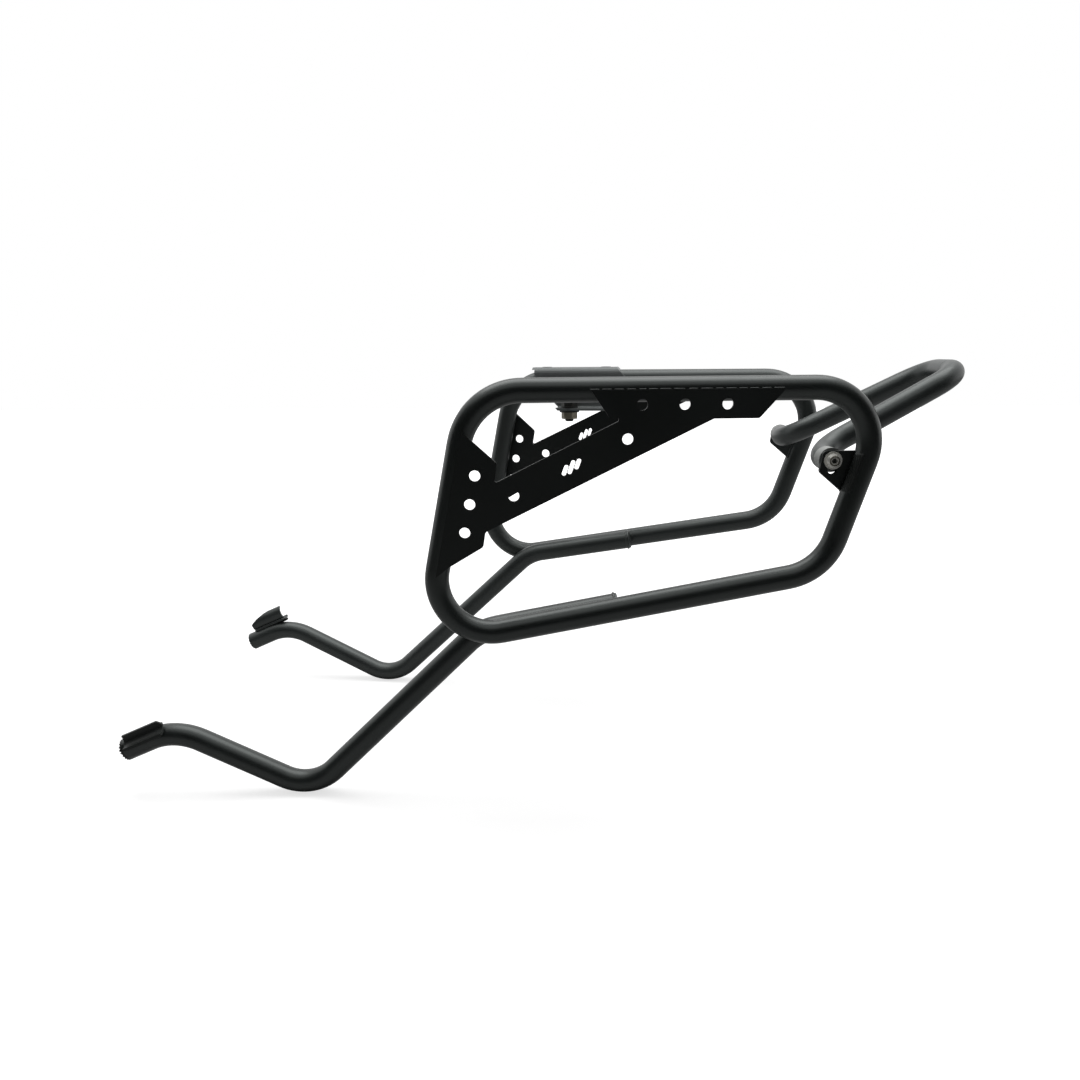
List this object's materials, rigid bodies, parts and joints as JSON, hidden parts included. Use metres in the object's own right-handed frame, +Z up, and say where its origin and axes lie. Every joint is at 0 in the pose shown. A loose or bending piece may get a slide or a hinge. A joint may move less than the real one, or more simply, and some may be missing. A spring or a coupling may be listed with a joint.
{
  "type": "pannier frame",
  "caption": "Welded tube pannier frame for a motorcycle with a loop, gusset plate and forward leg on each side, joined by a bolted rear hoop.",
  "frame": {"origin": "middle of the box round the whole frame", "axes": "+X towards the motorcycle's rear, +Y towards its right side, +Z up"},
  "size_m": [0.8364, 0.385, 0.4171],
  "materials": {
    "powder_coat": "satin",
    "plate_coat": "matt",
    "bracket_coat": "satin",
    "stainless": "satin",
    "zinc": "satin"
  },
  "bodies": {
    "root": {"left_loop_tube": "powder_coat", "right_loop_tube": "powder_coat", "left_gusset_plate": "plate_coat", "right_gusset_plate": "plate_coat", "left_leg_tube": "powder_coat", "right_leg_tube": "powder_coat", "left_leg_cap": "powder_coat", "right_leg_cap": "powder_coat", "left_saddle": "powder_coat", "right_saddle": "powder_coat", "left_rear_tab": "plate_coat", "right_rear_tab": "plate_coat", "rear_hoop": "powder_coat", "left_hoop_plug": "stainless", "right_hoop_plug": "stainless", "left_tab_bolt": "stainless", "right_tab_bolt": "stainless", "left_tab_washer": "stainless", "right_tab_washer": "stainless", "top_bracket": "bracket_coat", "bracket_bolt": "zinc", "bracket_upper_washer": "zinc", "bracket_lower_washer": "zinc", "bracket_nut": "zinc"}
  },
  "joints": []
}
